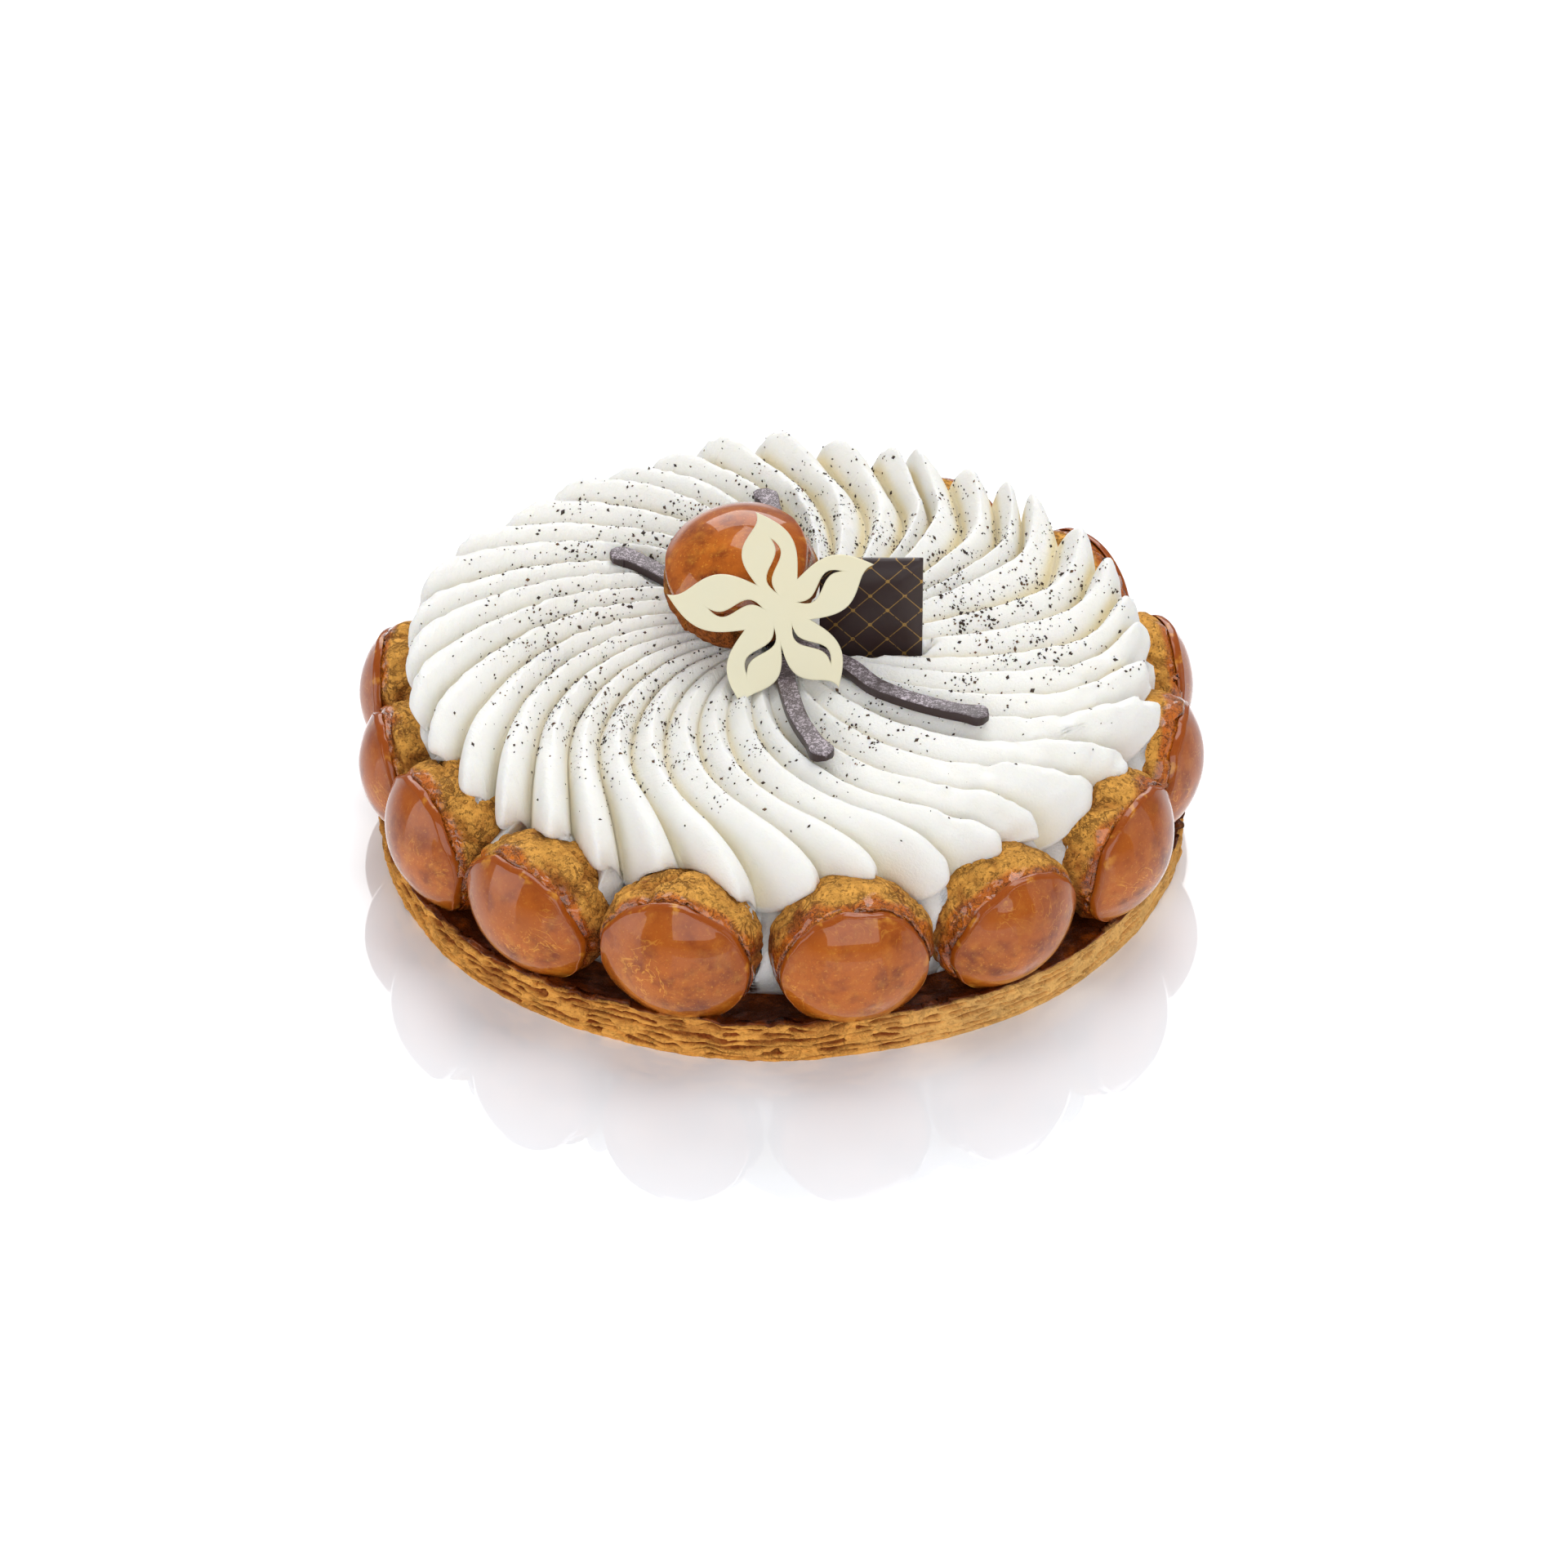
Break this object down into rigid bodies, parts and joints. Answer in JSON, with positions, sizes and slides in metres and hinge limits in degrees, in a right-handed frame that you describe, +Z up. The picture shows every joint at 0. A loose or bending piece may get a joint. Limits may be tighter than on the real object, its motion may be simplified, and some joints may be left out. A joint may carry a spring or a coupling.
{
  "type": "saint-honore cake",
  "caption": "Round puff pastry cake ringed with caramel-dipped choux, topped with whipped cream piped in curved petals and chocolate decorations.",
  "frame": {"origin": "centre of the flat underside of the pastry disc", "axes": "+Z up through the cake, the front of the cake (the side that the flower and plaque face) towards -Y, +X to the right seen from the front"},
  "size_m": [0.2304, 0.2323, 0.1023],
  "materials": {
    "puff_pastry": "dry baked flaky pastry, golden at the cut leaves and dark caramelised on top; matte_plastic stands in for baked food",
    "choux_pastry": "dry crackled golden choux crust; matte_plastic stands in for baked food",
    "caramel": "hard clear amber caramel, mirror gloss; gloss_plastic stands in for sugar",
    "whipped_cream": "soft ivory whipped cream, satin, with vanilla specks; matte_plastic stands in for cream",
    "dark_chocolate": "tempered dark chocolate, low satin sheen; gloss_plastic stands in for chocolate",
    "white_chocolate": "smooth ivory white chocolate, satin; matte_plastic stands in for chocolate"
  },
  "bodies": {
    "root": {"pastry_base": "puff_pastry", "cream_petals": "whipped_cream", "chou_01": "choux_pastry", "caramel_01": "caramel", "chou_02": "choux_pastry", "caramel_02": "caramel", "chou_03": "choux_pastry", "caramel_03": "caramel", "chou_04": "choux_pastry", "caramel_04": "caramel", "chou_05": "choux_pastry", "caramel_05": "caramel", "chou_06": "choux_pastry", "caramel_06": "caramel", "chou_07": "choux_pastry", "caramel_07": "caramel", "chou_08": "choux_pastry", "caramel_08": "caramel", "chou_09": "choux_pastry", "caramel_09": "caramel", "chou_10": "choux_pastry", "caramel_10": "caramel", "chou_11": "choux_pastry", "caramel_11": "caramel", "chou_12": "choux_pastry", "caramel_12": "caramel", "chou_13": "choux_pastry", "caramel_13": "caramel", "chou_14": "choux_pastry", "caramel_14": "caramel", "chou_15": "choux_pastry", "caramel_15": "caramel", "chou_centre": "choux_pastry", "caramel_centre": "caramel", "pod_left": "dark_chocolate", "pod_right": "dark_chocolate", "chocolate_plaque": "dark_chocolate", "chocolate_flower": "white_chocolate"}
  },
  "joints": []
}
